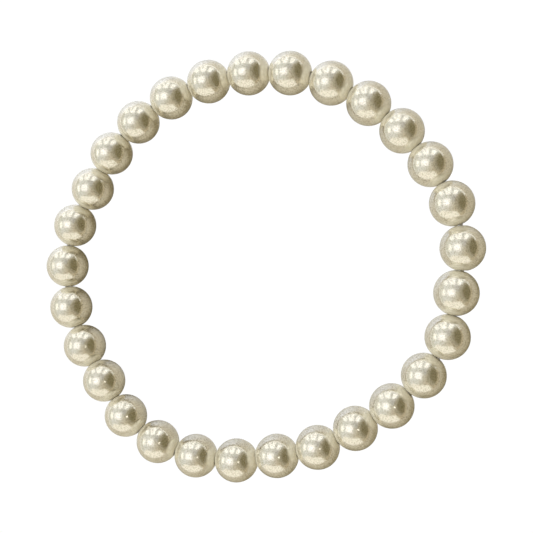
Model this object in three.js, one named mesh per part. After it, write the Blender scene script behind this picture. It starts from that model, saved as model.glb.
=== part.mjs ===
import * as THREE from 'three';
import { mergeVertices } from 'three/addons/utils/BufferGeometryUtils.js';

// A stretch bracelet: round drilled pearls on a closed loop of elastic, lying flat.
// Millimetres, +Z up. The origin is on the surface it lies on, under the middle of its outline.

// Driving dimensions
const PEARL_DIAMETER = 6;
const PEARL_COUNT = 29;
const CORD_DIAMETER = 0.5;
const BORE_CLEARANCE = 0.25; // between the elastic and the bore, all round
const RIM_WIDTH = 0.5; // flat ring round each end of the bore, where neighbours press
const PEARL_GAP = 0.04; // between the rims of neighbours, where they are closest

// How finely the round shapes are cut. A multiple of four sides and an odd number of
// arc steps give each pearl flat facets that face straight down, up and outwards.
const PEARL_SIDES = 16;
const PEARL_ARC_STEPS = 9;
const CORD_SIDES = 8;
const CORD_STEPS_PER_PEARL = 2;

// The string's route, clockwise from the first pearl: turn in degrees, and how far out the
// elastic bends there, as a share of the mean reach, which follows from the pearls' length.
const FIRST_BEARING = 91.5; // of the first pearl, anticlockwise from +X
const ROUTE = [
  { turn: 0, reach: 0.981 },
  { turn: 20, reach: 0.998 },
  { turn: 40, reach: 0.996 },
  { turn: 60, reach: 1.014 },
  { turn: 80, reach: 1.049 },
  { turn: 100, reach: 1.023 },
  { turn: 120, reach: 1.013 },
  { turn: 140, reach: 0.958 },
  { turn: 160, reach: 0.945 },
  { turn: 180, reach: 0.963 },
  { turn: 200, reach: 1.013 },
  { turn: 220, reach: 1.04 },
  { turn: 240, reach: 1.006 },
  { turn: 260, reach: 1.031 },
  { turn: 280, reach: 1.022 },
  { turn: 300, reach: 0.974 },
  { turn: 320, reach: 0.983 },
  { turn: 340, reach: 0.981 },
];

// The pearls that sit off the elastic's line, outwards, as a share of the bore's clearance
const SLIPS = [
  { pearl: 8, out: 0.6 },
  { pearl: 9, out: -0.8 },
  { pearl: 10, out: 0.8 },
  { pearl: 13, out: -0.5 },
  { pearl: 14, out: 0.4 },
  { pearl: 15, out: -0.6 },
  { pearl: 18, out: 0.5 },
  { pearl: 19, out: 0.6 },
  { pearl: 20, out: -0.6 },
  { pearl: 25, out: -0.8 },
  { pearl: 26, out: 0.4 },
];

// Worked out from the above
const PEARL_RADIUS = PEARL_DIAMETER / 2;
const BORE_RADIUS = CORD_DIAMETER / 2 + BORE_CLEARANCE;
const RIM_RADIUS = BORE_RADIUS + RIM_WIDTH;
const HALF_LENGTH = Math.sqrt(PEARL_RADIUS ** 2 - RIM_RADIUS ** 2); // middle to end flat
const MERGE_TOLERANCE = 1e-4;

const pearlMaterial = new THREE.MeshStandardMaterial({ color: 0xd8cda9, roughness: 0.22, metalness: 0.35 });
const elasticMaterial = new THREE.MeshStandardMaterial({ color: 0xe9e7df, roughness: 0.5, metalness: 0 });

// A round section's corners lie this far out, so that its sides are tangent to the circle
function cornerReach(radius, sides) {
  return radius / Math.cos(Math.PI / sides);
}

// Only the shared corner positions of a geometry, so that it is one closed mesh
function closedMesh(geometry) {
  geometry.deleteAttribute('uv');
  geometry.deleteAttribute('normal');
  const merged = mergeVertices(geometry, MERGE_TOLERANCE);
  merged.computeVertexNormals();
  return merged;
}

// A drilled pearl round its bore, which runs along Y: end flats, round side and bore wall
function pearlGeometry() {
  const rim = cornerReach(RIM_RADIUS, PEARL_SIDES);
  const bore = cornerReach(BORE_RADIUS, PEARL_SIDES);
  const rimAngle = Math.asin(RIM_RADIUS / PEARL_RADIUS);
  const arcStep = (Math.PI - 2 * rimAngle) / PEARL_ARC_STEPS;
  const sideRadius = cornerReach(PEARL_RADIUS, Math.PI / (arcStep / 2));
  const profile = [new THREE.Vector2(bore, -HALF_LENGTH), new THREE.Vector2(rim, -HALF_LENGTH)];
  for (let step = 1; step < PEARL_ARC_STEPS; step += 1) {
    const angle = rimAngle + step * arcStep;
    const reach = cornerReach(sideRadius * Math.sin(angle), PEARL_SIDES);
    profile.push(new THREE.Vector2(reach, -sideRadius * Math.cos(angle)));
  }
  profile.push(new THREE.Vector2(rim, HALF_LENGTH), new THREE.Vector2(bore, HALF_LENGTH));
  profile.push(profile[0].clone());
  const firstCorner = -Math.PI / PEARL_SIDES;
  return closedMesh(new THREE.LatheGeometry(profile, PEARL_SIDES, firstCorner, 2 * Math.PI));
}

// The route as a smooth closed curve whose mean reach is 1
function routeCurve() {
  const points = ROUTE.map(({ turn, reach }) => {
    const bearing = THREE.MathUtils.degToRad(FIRST_BEARING - turn);
    return new THREE.Vector3(reach * Math.cos(bearing), reach * Math.sin(bearing), 0);
  });
  return new THREE.CatmullRomCurve3(points, true, 'centripetal');
}

// How far each pearl sits off the elastic's line, outwards
function pearlSlips() {
  const slips = new Array(PEARL_COUNT).fill(0);
  SLIPS.filter(({ pearl: number }) => number <= PEARL_COUNT).forEach(({ pearl: number, out }) => {
    slips[number - 1] = out * BORE_CLEARANCE;
  });
  return slips;
}

// The straight links between the elastic's corners, one for each pearl, with the room
// that each pearl needs where its neighbours lean against its rims
function linksBetween(corners, slips) {
  const after = (index) => (index + 1) % corners.length;
  const links = corners.map((start, index) => {
    const along = corners[after(index)].clone().sub(start);
    return { start, along, length: along.length() };
  });
  const turns = links.map((link, index) => link.along.angleTo(links[after(index)].along));
  const rim = cornerReach(RIM_RADIUS, PEARL_SIDES);
  const room = (turn, slip) => HALF_LENGTH + (rim - slip) * Math.tan(turn / 2) + PEARL_GAP / 2;
  links.forEach((link, index) => {
    link.startRoom = room(turns[(index + turns.length - 1) % turns.length], slips[index]);
    link.need = link.startRoom + room(turns[index], slips[index]);
  });
  return links;
}

// Threads the pearls along the route: spreads the corners until each link has the length
// that its pearl needs, then sizes the loop so that the pearls just close it
function stringPearls() {
  const curve = routeCurve();
  const slips = pearlSlips();
  let steps = new Array(PEARL_COUNT).fill(1 / PEARL_COUNT);
  let links = [];
  const passes = 30; // enough for the spacing to settle
  for (let pass = 0; pass < passes; pass += 1) {
    let share = 1 - steps[0] / 2;
    const corners = steps.map((step) => {
      const corner = curve.getPointAt(share % 1);
      share += step;
      return corner;
    });
    links = linksBetween(corners, slips);
    const wanted = links.map((link, index) => (steps[index] * link.need) / link.length);
    const total = wanted.reduce((sum, step) => sum + step, 0);
    steps = wanted.map((step) => step / total);
  }
  const scale = Math.max(...links.map((link) => link.need / link.length));
  return links.map(({ start, along, length, startRoom, need }, index) => {
    const corner = start.clone().multiplyScalar(scale).setZ(PEARL_RADIUS);
    const direction = along.clone().normalize();
    const outwards = new THREE.Vector3(-direction.y, direction.x, 0);
    const spare = length * scale - need;
    const threaded = corner.clone().addScaledVector(direction, startRoom + spare / 2);
    const middle = threaded.clone().addScaledVector(outwards, slips[index]);
    return { corner, direction, threaded, middle };
  });
}

function pearl(geometry, place, number) {
  const mesh = new THREE.Mesh(geometry, pearlMaterial);
  mesh.name = `pearl_${String(number).padStart(2, '0')}`;
  mesh.position.copy(place.middle);
  mesh.rotation.z = Math.atan2(place.direction.y, place.direction.x) - Math.PI / 2;
  return mesh;
}

// One closed loop of elastic: straight through each bore, and bent only between the pearls
function elasticCord(places) {
  const corners = places.map(({ corner }) => corner);
  const points = places.flatMap(({ threaded }, index) => [threaded, corners[(index + 1) % corners.length]]);
  const straight = 0; // the tension that leaves no curve between two points
  const route = new THREE.CatmullRomCurve3(points, true, 'catmullrom', straight);
  const steps = CORD_STEPS_PER_PEARL * PEARL_COUNT;
  const tube = new THREE.TubeGeometry(route, steps, CORD_DIAMETER / 2, CORD_SIDES, true);
  const mesh = new THREE.Mesh(closedMesh(tube), elasticMaterial);
  mesh.name = 'elastic_cord';
  return mesh;
}

function bracelet() {
  const group = new THREE.Group();
  const places = stringPearls();
  const geometry = pearlGeometry();
  places.forEach((place, index) => group.add(pearl(geometry, place, index + 1)));
  group.add(elasticCord(places));
  group.updateMatrixWorld(true);
  const outline = new THREE.Box3().setFromObject(group, true);
  const middle = outline.getCenter(new THREE.Vector3());
  group.position.set(-middle.x, -middle.y, 0);
  return group;
}

export default bracelet();
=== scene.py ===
import math
import random

import bpy
from mathutils import Matrix, Vector


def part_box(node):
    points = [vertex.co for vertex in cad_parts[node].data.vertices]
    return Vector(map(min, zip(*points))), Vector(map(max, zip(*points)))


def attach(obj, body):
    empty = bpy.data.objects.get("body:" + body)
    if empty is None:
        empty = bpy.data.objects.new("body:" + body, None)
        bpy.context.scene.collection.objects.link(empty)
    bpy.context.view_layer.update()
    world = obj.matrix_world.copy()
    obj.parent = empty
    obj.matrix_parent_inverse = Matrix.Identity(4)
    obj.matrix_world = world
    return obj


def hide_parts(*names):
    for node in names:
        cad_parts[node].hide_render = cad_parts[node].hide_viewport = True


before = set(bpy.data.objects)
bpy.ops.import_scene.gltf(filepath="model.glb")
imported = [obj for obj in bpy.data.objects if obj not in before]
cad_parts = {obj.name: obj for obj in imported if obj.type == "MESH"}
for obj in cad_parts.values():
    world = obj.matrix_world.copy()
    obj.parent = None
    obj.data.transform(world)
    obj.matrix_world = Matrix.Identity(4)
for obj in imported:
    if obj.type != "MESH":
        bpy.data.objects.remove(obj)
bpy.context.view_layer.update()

# The pearl bracelet's looks, built round its CAD solids. Metres, +Z up.
# It lies on a white floor, under a broad skylight and beside a row of tall window panes.

MM = 0.001
UP = Vector((0, 0, 1))
WHITE = (1.0, 1.0, 1.0)
PEARL_COUNT = 29
SEED = 29


# Small helpers

def to_metres(point):
    return Vector(point) * MM


def rgba(colour):
    return (*colour, 1.0)


def link_object(name, data):
    obj = bpy.data.objects.new(name, data)
    bpy.context.scene.collection.objects.link(obj)
    return obj


def mesh_from(name, vertices, faces):
    mesh = bpy.data.meshes.new(name)
    mesh.from_pydata(vertices, [], faces)
    mesh.validate()
    mesh.update()
    for polygon in mesh.polygons:
        polygon.use_smooth = True
    return mesh


def loop_faces(rings, sides):
    """The quads that join closed rings of corners, the last ring to the first."""
    faces = []
    for ring in range(rings):
        here = ring * sides
        there = (ring + 1) % rings * sides
        for side in range(sides):
            beside = (side + 1) % sides
            faces.append((here + side, here + beside, there + beside, there + side))
    return faces


# The sockets of a mix node that hold its share, its two colours and the mixed colour
MIX_INPUTS = (0, 6, 7)
MIX_OUTPUT = 2


class Wiring:
    """Adds nodes to one node tree. Inputs may be numbers, tuples or sockets."""

    def __init__(self, tree):
        self.tree = tree
        tree.nodes.clear()

    def node(self, kind, inputs=None, **settings):
        made = self.tree.nodes.new(kind)
        for key, value in settings.items():
            setattr(made, key, value)
        for key, value in (inputs or {}).items():
            self.feed(made.inputs[key], value)
        return made

    def feed(self, socket, value):
        if isinstance(value, bpy.types.NodeSocket):
            self.tree.links.new(value, socket)
        else:
            socket.default_value = value

    def math(self, operation, *values):
        made = self.node("ShaderNodeMath", operation=operation)
        for socket, value in zip(made.inputs, values):
            self.feed(socket, value)
        return made.outputs[0]

    def step(self, value, start, end):
        """0 before start and 1 after end, smooth between them."""
        made = self.node("ShaderNodeMapRange", interpolation_type="SMOOTHSTEP", clamp=True)
        for key, given in (("Value", value), ("From Min", start), ("From Max", end)):
            self.feed(made.inputs[key], given)
        return made.outputs["Result"]

    def mix(self, share, first, second, blend="MIX"):
        made = self.node("ShaderNodeMix", data_type="RGBA", blend_type=blend)
        for index, value in zip(MIX_INPUTS, (share, first, second)):
            self.feed(made.inputs[index], value)
        return made.outputs[MIX_OUTPUT]

    def for_camera(self, lit, seen):
        """One shader for the rays that light the pearls and another for what the picture shows."""
        by_camera = self.node("ShaderNodeLightPath").outputs["Is Camera Ray"]
        return self.node("ShaderNodeMixShader", {0: by_camera, 1: lit, 2: seen}).outputs[0]


def new_material(name):
    material = bpy.data.materials.new(name)
    material.use_nodes = True
    return material, Wiring(material.node_tree)


# Camera, in millimetres: above the bracelet, leaning a little towards +X

CAMERA_PLACE = (42.11, -0.233, 145.48)
CAMERA_AIM = (0.783, 0.092, 0.0)
LENS = 73.33
SENSOR = 36.0
CLIP_START = 5.0
CLIP_END = 10000.0


def make_camera():
    data = bpy.data.cameras.new("camera")
    data.lens = LENS
    data.sensor_width = SENSOR
    data.clip_start = CLIP_START * MM
    data.clip_end = CLIP_END * MM
    camera = link_object("camera", data)
    place = to_metres(CAMERA_PLACE)
    back = (place - to_metres(CAMERA_AIM)).normalized()
    right = Vector((0, 1, 0)).cross(back).normalized()
    turn = Matrix((right, back.cross(right), back)).transposed()
    camera.matrix_world = Matrix.Translation(place) @ turn.to_4x4()
    bpy.context.scene.camera = camera


# Room. Each window or wall area lies on one side of a room round the bracelet and is given by
# the tangents of its edges as seen from the middle. "soft" is the width of a rectangle's soft
# edges across and up, and "oval_soft" that of an oval's edge. "floor" is the zone of heights in
# which an oval sets in. A later area covers an earlier one.

SIDES_OF_ROOM = {
    # name: (axis across, axis up, axis towards it, its sign)
    "ceiling": ("X", "Y", "Z", 1),
    "left": ("Y", "Z", "X", -1),
    "right": ("Y", "Z", "X", 1),
    "far": ("X", "Z", "Y", 1),
    "near": ("X", "Z", "Y", -1),
}
FACING = (0.02, 0.06)  # share of a direction towards a side at which that side sets in

DAYLIGHT = (1.07, 1.14, 1.29)  # tint of all the light from the room
PAPER_WHITE = 1.02  # how bright the camera sees the floor and the empty background
WALL_COOL = (0.69, 0.66, 0.58)
WALL_WARM = (0.45, 0.36, 0.215)
WARM_LEAN = 0.35  # how far the warm side of the walls is turned from +X towards the viewer
WARM_ZONE = (-0.7, 0.9)

# The lower edge of an oval area, which rises in a bow towards the viewer
BOW_START = 0.25  # place across at which it starts to rise
BOW = 0.13  # rise for the square of the way past that place

AREAS = [
    # Bare wall and ceiling between the panes
    {"side": "ceiling", "across": (-0.15, 1.00), "up": (0.34, 0.90), "soft": (0.40, 0.16),
     "light": (0.53, 0.50, 0.44)},
    {"side": "ceiling", "across": (0.12, 0.80), "up": (0.14, 0.68), "soft": (0.20, 0.20),
     "light": (0.445, 0.415, 0.36)},
    {"side": "left", "across": (-0.75, 0.75), "up": (0.06, 0.42), "soft": (0.40, 0.16),
     "light": (0.60, 0.56, 0.45)},
    {"side": "far", "across": (-0.30, 1.60), "up": (-0.20, 0.30), "soft": (0.30, 0.20),
     "light": (0.97, 0.91, 0.78)},
    # Bright strips along the foot of the far and left walls
    {"side": "far", "across": (-1.50, 1.50), "up": (-0.05, 0.07), "soft": (0.40, 0.04),
     "light": (1.15, 1.08, 0.95)},
    {"side": "left", "across": (-1.20, 1.20), "up": (-0.05, 0.05), "soft": (0.40, 0.04),
     "light": (1.15, 1.08, 0.95)},
    # The dark side of the room: two ovals that end above the floor
    {"side": "right", "across": (-1.12, 1.44), "up": (-1.00, 3.00), "oval_soft": 0.70,
     "floor": (0.155, 0.195), "light": (0.32, 0.27, 0.17)},
    {"side": "right", "across": (-0.64, 0.94), "up": (-0.80, 1.38), "oval_soft": 0.62,
     "floor": (0.155, 0.195), "light": (0.125, 0.092, 0.02)},
    # Cream wall
    {"side": "near", "across": (-1.28, 0.67), "up": (0.04, 1.04), "soft": (0.20, 0.24),
     "light": (0.965, 0.875, 0.71)},
    # Frame of the window at the far side
    {"side": "far", "across": (-1.50, 0.75), "up": (0.14, 1.00), "soft": (0.20, 0.16),
     "light": (0.56, 0.53, 0.46)},
    # Panes in the ceiling, at the left and at the far side, one of them with a bar across it
    {"side": "ceiling", "across": (-0.82, -0.06), "up": (-0.24, 0.37), "soft": (0.28, 0.30),
     "light": (1.28, 1.195, 1.10)},
    {"side": "left", "across": (-0.22, 0.30), "up": (0.42, 0.80), "soft": (0.12, 0.10),
     "light": (1.30, 1.22, 1.05)},
    {"side": "far", "across": (0.19, 0.57), "up": (0.24, 1.00), "soft": (0.08, 0.15),
     "light": (1.30, 1.22, 1.10)},
    {"side": "far", "across": (-0.575, -0.03), "up": (0.12, 1.00), "soft": (0.08, 0.15),
     "light": (1.28, 1.20, 1.08)},
    {"side": "far", "across": (-0.40, -0.26), "up": (0.00, 0.52), "soft": (0.10, 0.30),
     "light": (0.70, 0.66, 0.58)},
    {"side": "far", "across": (-1.38, -0.76), "up": (0.10, 0.86), "soft": (0.08, 0.15),
     "light": (1.24, 1.18, 1.06)},
]


def rectangle_mask(wire, mask, across, up, area):
    """Cuts a mask to a rectangle with soft edges."""
    across_soft, up_soft = area["soft"]
    for slope, (low, high), soft in ((across, area["across"], across_soft), (up, area["up"], up_soft)):
        half = soft / 2
        mask = wire.math("MULTIPLY", mask, wire.step(slope, low - half, low + half))
        mask = wire.math("MULTIPLY", mask, wire.step(slope, high + half, high - half))
    return mask


def oval_mask(wire, mask, across, up, area):
    """Cuts a mask to an oval with a soft edge, and to what lies above its bowed floor."""
    squares = []
    for slope, (low, high) in ((across, area["across"]), (up, area["up"])):
        centred = wire.math("SUBTRACT", slope, (low + high) / 2)
        share = wire.math("ABSOLUTE", wire.math("DIVIDE", centred, (high - low) / 2))
        squares.append(wire.math("POWER", share, 2.0))
    reach = wire.math("SQRT", wire.math("ADD", *squares))
    half = area["oval_soft"] / 2
    mask = wire.math("MULTIPLY", mask, wire.step(reach, 1.0 + half, 1.0 - half))
    inwards = wire.math("MINIMUM", wire.math("SUBTRACT", across, BOW_START), 0.0)
    bow = wire.math("MULTIPLY", wire.math("MULTIPLY", inwards, inwards), BOW)
    above = wire.math("SUBTRACT", up, bow)
    return wire.math("MULTIPLY", mask, wire.step(above, *area["floor"]))


def area_mask(wire, axes, area):
    """How much of an area a direction meets, from 0 to 1."""
    across_axis, up_axis, towards_axis, sign = SIDES_OF_ROOM[area["side"]]
    depth = wire.math("MULTIPLY", axes[towards_axis], float(sign))
    mask = wire.step(depth, *FACING)
    depth = wire.math("MAXIMUM", depth, FACING[0])
    across = wire.math("DIVIDE", axes[across_axis], depth)
    up = wire.math("DIVIDE", axes[up_axis], depth)
    if "oval_soft" in area:
        return oval_mask(wire, mask, across, up, area)
    return rectangle_mask(wire, mask, across, up, area)


def make_world():
    world = bpy.data.worlds.new("studio")
    bpy.context.scene.world = world
    world.use_nodes = True
    wire = Wiring(world.node_tree)
    towards = wire.node("ShaderNodeTexCoord").outputs["Generated"]
    split = wire.node("ShaderNodeSeparateXYZ", {"Vector": towards})
    axes = {name: split.outputs[name] for name in "XYZ"}
    warm_side = wire.math("SUBTRACT", axes["X"], wire.math("MULTIPLY", axes["Y"], WARM_LEAN))
    colour = wire.mix(wire.step(warm_side, *WARM_ZONE), rgba(WALL_COOL), rgba(WALL_WARM))
    for area in AREAS:
        colour = wire.mix(area_mask(wire, axes, area), colour, rgba(area["light"]))
    colour = wire.mix(1.0, colour, rgba(DAYLIGHT), "MULTIPLY")
    lit = wire.node("ShaderNodeBackground", {"Color": colour, "Strength": 1.0})
    seen = wire.node("ShaderNodeBackground", {"Color": rgba(WHITE), "Strength": PAPER_WHITE})
    both = wire.for_camera(lit.outputs[0], seen.outputs[0])
    wire.node("ShaderNodeOutputWorld", {"Surface": both})


# Lamps

KEY_PLACE = (-0.22, 0.29, 0.20)
KEY_SIZE = 0.36
KEY_POWER = 3.25
KEY_COLOUR = (0.91, 1.05, 1.66)

GLINT_WAY = (0.435, 0.02, 0.90)
GLINT_AIM = (0.0, -0.03, 0.0)
GLINT_DISTANCE = 0.5
GLINT_SIZE = 0.06
GLINT_POWER = 0.024
GLINT_COLOUR = (1.0, 0.98, 0.94)
GLINT_PEARLS = range(12, 22)


def make_disk_lamp(name, size, power, colour, lit_objects):
    """A round lamp, unseen by the camera, that lights only the objects given."""
    data = bpy.data.lights.new(name, "AREA")
    data.shape = "DISK"
    data.size = size
    data.energy = power
    data.color = colour
    lamp = link_object(name, data)
    lamp.visible_camera = False
    lit = bpy.data.collections.new(f"{name}_lit")
    for obj in lit_objects:
        lit.objects.link(obj)
    lamp.light_linking.receiver_collection = lit
    return lamp


def make_key_light(floor):
    """A soft lamp from the upper left, which lights the floor alone and lets the pearls shade it."""
    lamp = make_disk_lamp("key", KEY_SIZE, KEY_POWER, KEY_COLOUR, [floor])
    lamp.location = KEY_PLACE
    lamp.rotation_euler = (-Vector(KEY_PLACE)).to_track_quat("-Z", "Y").to_euler()


def make_glint(pearls):
    """A small lamp overhead, which puts a bright dot on the pearls nearest to the viewer."""
    lit = [pearls[number - 1] for number in GLINT_PEARLS]
    lamp = make_disk_lamp("glint", GLINT_SIZE, GLINT_POWER, GLINT_COLOUR, lit)
    way = Vector(GLINT_WAY).normalized()
    lamp.location = Vector(GLINT_AIM) + way * GLINT_DISTANCE
    lamp.rotation_euler = way.to_track_quat("Z", "Y").to_euler()
    lamp.visible_diffuse = False


# Floor

FLOOR_HALF_WIDTH = 4.0
FLOOR_ALBEDO = (0.365, 0.275, 0.112)
FLOOR_GLEAM = (0.92, 0.99, 1.0)
FLOOR_SATIN = 0.20  # share of its light that the floor throws on in a broad satin gleam
FLOOR_ROUGHNESS = 0.78


def floor_material():
    """A satin table top, which the camera sees as plain white and the pearls see with their shade."""
    material, wire = new_material("floor_white")
    matt = wire.node("ShaderNodeBsdfDiffuse", {"Color": rgba(FLOOR_ALBEDO)})
    gleam = wire.node("ShaderNodeBsdfGlossy", {
        "Color": rgba(FLOOR_GLEAM),
        "Roughness": FLOOR_ROUGHNESS,
    })
    table = wire.node("ShaderNodeMixShader", {0: FLOOR_SATIN, 1: matt.outputs[0], 2: gleam.outputs[0]})
    paper = wire.node("ShaderNodeEmission", {"Color": rgba(WHITE), "Strength": PAPER_WHITE})
    both = wire.for_camera(table.outputs[0], paper.outputs[0])
    wire.node("ShaderNodeOutputMaterial", {"Surface": both})
    return material


def make_floor():
    half = FLOOR_HALF_WIDTH
    corners = [(-half, -half, 0), (half, -half, 0), (half, half, 0), (-half, half, 0)]
    floor = link_object("floor", mesh_from("floor", corners, [(0, 1, 2, 3)]))
    floor.data.materials.append(floor_material())
    return floor


# Pearls, in millimetres. They keep inside their CAD solids' outline.

PEARL_RADIUS = 2.992
BORE_RADIUS = 0.5
BORE_MOUTH = 0.09  # rounding of the drill hole's edge
RIM_RADIUS = 0.64  # outside of the flat round the hole
RIM_SOFTNESS = 0.10  # rounding where the flat meets the round side
CORNER_STEPS = 4
LEG_ANGLE = 0.08  # radians past the rim at which the leg of its rounding points
ARC_MARGIN = 0.03  # radians between that rounding and the round side's first ring
ARC_STEPS = 56
SIDES = 112
PRESS_GAP = 0.012  # half the gap where neighbours press on each other

UNDULATION = 0.008  # how far the surface strays from a true sphere
SIDE_MARGIN = 0.02  # a point this near to the sphere is on the round side
WAVES = 7  # how many waves the unevenness is made of
WAVE_RANGE = (2.0, 6.5)  # radians of wave for each radius of the pearl

CAD_END_REACH = 2.95  # corners of the CAD pearl nearer than this to its middle are at its bore

END_NEARNESS = "end_nearness"  # 0 round the pearl's waist, 1 at its drilled ends
CROWN_NEARNESS = "crown_nearness"  # 0 at mid height, 1 at the pearl's top and underside


def rounded_corner(before, corner, after, size):
    """Points of a curve that rounds a corner, on the legs before and after it."""
    before, corner, after = Vector(before), Vector(corner), Vector(after)
    start = corner + (before - corner).normalized() * size
    end = corner + (after - corner).normalized() * size
    points = []
    for step in range(CORNER_STEPS + 1):
        t = step / CORNER_STEPS
        points.append(start * (1 - t) ** 2 + corner * 2 * t * (1 - t) + end * t ** 2)
    return points


def on_arc(angle):
    """A point of the round side, as (reach from the bore's middle, place along it)."""
    return PEARL_RADIUS * math.sin(angle), PEARL_RADIUS * math.cos(angle)


def pearl_outline():
    """The closed outline of a drilled pearl, as (reach from the bore's middle, place along it)."""
    rim_angle = math.asin(RIM_RADIUS / PEARL_RADIUS)
    flat = PEARL_RADIUS * math.cos(rim_angle)
    wall = (BORE_RADIUS, 0.0)
    mouth = (BORE_RADIUS, flat)
    rim = (RIM_RADIUS, flat)
    end = [(BORE_RADIUS, flat / 2)]
    end += rounded_corner(wall, mouth, rim, BORE_MOUTH)
    end += rounded_corner(mouth, rim, on_arc(rim_angle + LEG_ANGLE), RIM_SOFTNESS)
    first = rim_angle + RIM_SOFTNESS / PEARL_RADIUS + ARC_MARGIN
    arc = [on_arc(first + (math.pi - 2 * first) * step / ARC_STEPS) for step in range(ARC_STEPS + 1)]
    other_end = [(reach, -along) for reach, along in reversed(end)]
    return [Vector((p[0], p[1])) for p in end + arc + other_end]


def bore_direction(node, middle):
    """The way the bore runs, from the rings of corners at its two ends."""
    points = [v.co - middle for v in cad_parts[node].data.vertices]
    ring = [p for p in points if p.length < CAD_END_REACH * MM]
    first = ring[0]
    here = [p for p in ring if p.dot(first) > 0]
    there = [p for p in ring if p.dot(first) <= 0]
    along = sum(here, Vector()) / len(here) - sum(there, Vector()) / len(there)
    return along.normalized()


def undulation(rng):
    """A smooth random function on the sphere, from 0 to 1."""
    waves = []
    for _ in range(WAVES):
        way = Vector((rng.gauss(0, 1), rng.gauss(0, 1), rng.gauss(0, 1))).normalized()
        waves.append((way * rng.uniform(*WAVE_RANGE), rng.uniform(0, 2 * math.pi)))

    def height(unit):
        total = sum(math.sin(way.dot(unit) + phase) for way, phase in waves)
        return 0.5 + 0.5 * total / len(waves)

    return height


def pearl_node(number):
    return f"pearl_{number:02d}"


def pearl_middle(number):
    low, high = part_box(pearl_node(number))
    return (low + high) / 2


def pressed(offset, neighbours):
    """Keeps a point of a pearl on its own side of the planes half way to its neighbours."""
    for to_neighbour in neighbours:
        limit = to_neighbour.length / 2 - PRESS_GAP * MM
        way = to_neighbour.normalized()
        over = offset.dot(way) - limit
        if over > 0:
            offset = offset - way * over
    return offset


def make_pearl(number, middles, outline, material):
    node = pearl_node(number)
    middle = middles[number - 1]
    neighbours = [middles[number - 2] - middle, middles[number % PEARL_COUNT] - middle]
    along = bore_direction(node, middle)
    across = along.cross(UP).normalized()
    rng = random.Random(SEED * 1000 + number)
    height = undulation(rng)
    vertices = []
    end_nearness = []
    crown_nearness = []
    for reach, place in outline:
        on_side = math.hypot(reach, place) > PEARL_RADIUS - SIDE_MARGIN
        for side in range(SIDES):
            turn = 2 * math.pi * side / SIDES
            offset = across * (reach * math.cos(turn)) + UP * (reach * math.sin(turn)) + along * place
            if on_side:
                offset *= 1 - UNDULATION / PEARL_RADIUS * height(offset.normalized())
            vertices.append(middle + pressed(offset * MM, neighbours))
            end_nearness.append(abs(place) / PEARL_RADIUS)
            crown_nearness.append(abs(offset.z) / PEARL_RADIUS)
    mesh = mesh_from(f"glossy_{node}", vertices, loop_faces(len(outline), SIDES))
    piece = link_object(f"glossy_{node}", mesh)
    mesh.materials.append(material)
    for label, values in ((END_NEARNESS, end_nearness), (CROWN_NEARNESS, crown_nearness)):
        mesh.attributes.new(label, "FLOAT", "POINT").data.foreach_set("value", values)
    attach(piece, "root")
    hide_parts(node)
    return piece


# Pearl lacquer. Its grain is made of light flakes and deeper specks.

PEARL_LIGHT = (0.955, 0.915, 0.78)
PEARL_DEEP_AT_CROWN = (0.73, 0.68, 0.55)
PEARL_DEEP_AT_SIDES = (0.49, 0.44, 0.32)
# Painted light: lighter flakes and specks near the drilled ends, so that the joins between pearls look
# bright
PEARL_LIGHT_PAINTED_AT_ENDS = (1.0, 0.965, 0.83)
PEARL_DEEP_PAINTED_AT_ENDS = (0.86, 0.815, 0.665)
CROWN_ZONE = (0.50, 0.82)  # nearness to the crown over which the specks fade
END_PAINTED_LIGHT_ZONE = (0.56, 0.82)  # nearness to a drilled end over which painted light makes the lacquer lighter, brightening the joins
FLAKES = (0.30, 0.58)  # grain at which the specks go over to flakes
GRAIN_SCALE = 5400.0
GRAIN_HEIGHT = 0.008 * MM

PEARL_ROSY = (0.90, 0.80, 0.69)
PEARL_GREEN = (0.77, 0.78, 0.62)
HUES = (0.40, 0.60)  # noise at which the cast goes over from rosy to green
HUE_SCALE = GRAIN_SCALE * 0.7
HUE_SHARE = 0.16  # share of the cast in the lacquer's colour

CLOUD_SCALE = 900.0
CLOUD_HEIGHT = 0.005 * MM
CLOUDS = (0.3, 0.7)  # noise in the clouds' troughs and on their crests
ROUGHNESS = (0.14, 0.20)  # at those two

METALLIC = 0.8
METALLIC_AT_ENDS = 0.05
LUSTRE_ZONE = (0.60, 1.0)  # nearness to a drilled end over which the lustre goes over to milky
EDGE_TINT = (0.965, 0.97, 0.95)  # how much of the light is kept at grazing angles
COAT = 0.25
COAT_ROUGHNESS = 0.10
SHEEN = 0.12
SHEEN_ROUGHNESS = 0.4
SHEEN_TINT = (0.97, 0.99, 1.0)


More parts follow.
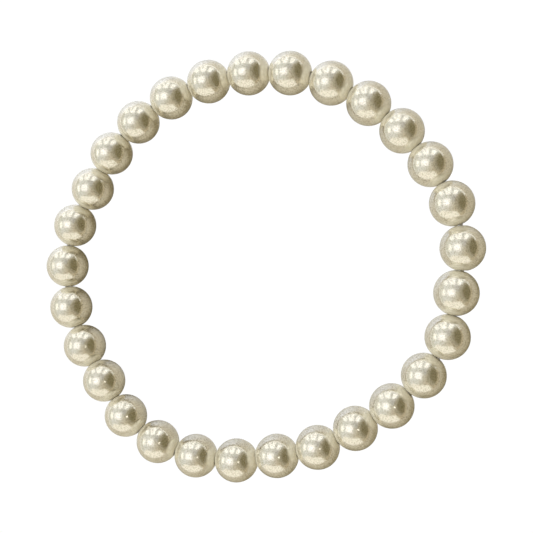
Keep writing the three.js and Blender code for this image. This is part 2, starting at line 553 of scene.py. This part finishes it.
def pearl_material():
    """Champagne pearl lacquer: a soft metallic lustre, a fine mottled grain and painted light at the
    drilled ends.
    """
    material, wire = new_material("pearl_lacquer")
    where = wire.node("ShaderNodeTexCoord").outputs["Object"]
    grain = wire.node("ShaderNodeTexNoise", {"Vector": where, "Scale": GRAIN_SCALE, "Detail": 2.0})
    hue = wire.node("ShaderNodeTexNoise", {"Vector": where, "Scale": HUE_SCALE, "Detail": 0.0})
    cloud = wire.node("ShaderNodeTexNoise", {"Vector": where, "Scale": CLOUD_SCALE, "Detail": 1.0})
    crown = wire.node("ShaderNodeAttribute", attribute_name=CROWN_NEARNESS).outputs["Fac"]
    ends = wire.node("ShaderNodeAttribute", attribute_name=END_NEARNESS).outputs["Fac"]

    # Painted light: the grain turns lighter towards the drilled ends, brightening the joins between
    # neighbours
    painted_end_light = wire.step(ends, *END_PAINTED_LIGHT_ZONE)
    on_crown = wire.step(crown, *CROWN_ZONE)
    specks = wire.mix(on_crown, rgba(PEARL_DEEP_AT_SIDES), rgba(PEARL_DEEP_AT_CROWN))
    specks = wire.mix(painted_end_light, specks, rgba(PEARL_DEEP_PAINTED_AT_ENDS))
    flakes = wire.mix(painted_end_light, rgba(PEARL_LIGHT), rgba(PEARL_LIGHT_PAINTED_AT_ENDS))
    tone = wire.mix(wire.step(grain.outputs[0], *FLAKES), specks, flakes)
    cast = wire.mix(wire.step(hue.outputs[0], *HUES), rgba(PEARL_ROSY), rgba(PEARL_GREEN))
    tone = wire.mix(HUE_SHARE, tone, cast)

    rough = wire.node("ShaderNodeMapRange", {
        "Value": cloud.outputs[0],
        "From Min": CLOUDS[0],
        "From Max": CLOUDS[1],
        "To Min": ROUGHNESS[0],
        "To Max": ROUGHNESS[1],
    })
    milky = wire.step(ends, *LUSTRE_ZONE)
    metallic = wire.math("MULTIPLY_ADD", milky, METALLIC_AT_ENDS - METALLIC, METALLIC)

    broad = wire.node("ShaderNodeBump", {
        "Height": cloud.outputs[0],
        "Strength": 1.0,
        "Distance": CLOUD_HEIGHT,
    })
    fine = wire.node("ShaderNodeBump", {
        "Height": grain.outputs[0],
        "Strength": 1.0,
        "Distance": GRAIN_HEIGHT,
        "Normal": broad.outputs[0],
    })
    shader = wire.node("ShaderNodeBsdfPrincipled", {
        "Base Color": tone,
        "Roughness": rough.outputs[0],
        "Metallic": metallic,
        "Specular Tint": rgba(EDGE_TINT),
        "Coat Weight": COAT,
        "Coat Roughness": COAT_ROUGHNESS,
        "Sheen Weight": SHEEN,
        "Sheen Roughness": SHEEN_ROUGHNESS,
        "Sheen Tint": rgba(SHEEN_TINT),
        "Normal": fine.outputs[0],
    })
    wire.node("ShaderNodeOutputMaterial", {"Surface": shader.outputs[0]})
    return material


# Elastic, in millimetres

ELASTIC_RADIUS = 0.245
ELASTIC_SIDES = 20
ELASTIC_LIGHT = (0.86, 0.84, 0.78)
ELASTIC_DEEP = (0.74, 0.70, 0.62)
ELASTIC_ROUGHNESS = 0.42
STREAK_SCALE = 2500.0
STREAK_STRENGTH = 0.2
STREAK_HEIGHT = 0.03
CAD_RING_REACH = 0.8  # corners of the CAD elastic nearer than this to a point are its ring there


def ring_middle(guess):
    """The middle of the CAD elastic's ring of corners nearest to a point."""
    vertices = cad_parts["elastic_cord"].data.vertices
    near = [v.co for v in vertices if (v.co - guess).length < CAD_RING_REACH * MM]
    return sum(near, Vector()) / len(near)


def elastic_material():
    """Clear stretch elastic with faint streaks."""
    material, wire = new_material("elastic_clear")
    where = wire.node("ShaderNodeTexCoord").outputs["Object"]
    streaks = wire.node("ShaderNodeTexNoise", {"Vector": where, "Scale": STREAK_SCALE, "Detail": 3.0})
    tone = wire.mix(streaks.outputs[0], rgba(ELASTIC_LIGHT), rgba(ELASTIC_DEEP))
    bump = wire.node("ShaderNodeBump", {
        "Height": streaks.outputs[0],
        "Strength": STREAK_STRENGTH,
        "Distance": STREAK_HEIGHT * MM,
    })
    shader = wire.node("ShaderNodeBsdfPrincipled", {
        "Base Color": tone,
        "Roughness": ELASTIC_ROUGHNESS,
        "Normal": bump.outputs[0],
    })
    wire.node("ShaderNodeOutputMaterial", {"Surface": shader.outputs[0]})
    return material


def make_elastic(middles):
    """A round loop through the bores, bent between the pearls."""
    route = []
    for index, middle in enumerate(middles):
        after = middles[(index + 1) % len(middles)]
        route.append(ring_middle(middle))
        route.append(ring_middle((middle + after) / 2))
    vertices = []
    for index, point in enumerate(route):
        along = (route[(index + 1) % len(route)] - route[index - 1]).normalized()
        across = along.cross(UP)
        for side in range(ELASTIC_SIDES):
            turn = 2 * math.pi * side / ELASTIC_SIDES
            offset = across * math.cos(turn) + UP * math.sin(turn)
            vertices.append(point + offset * ELASTIC_RADIUS * MM)
    mesh = mesh_from("elastic_loop", vertices, loop_faces(len(route), ELASTIC_SIDES))
    piece = link_object("elastic_loop", mesh)
    mesh.materials.append(elastic_material())
    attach(piece, "root")
    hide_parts("elastic_cord")


# The scene

bpy.context.scene.view_settings.view_transform = "Standard"
make_camera()
make_world()
make_key_light(make_floor())
lacquer = pearl_material()
profile = pearl_outline()
places = [pearl_middle(number) for number in range(1, PEARL_COUNT + 1)]
pearls = [make_pearl(number, places, profile, lacquer) for number in range(1, PEARL_COUNT + 1)]
make_glint(pearls)
make_elastic(places)
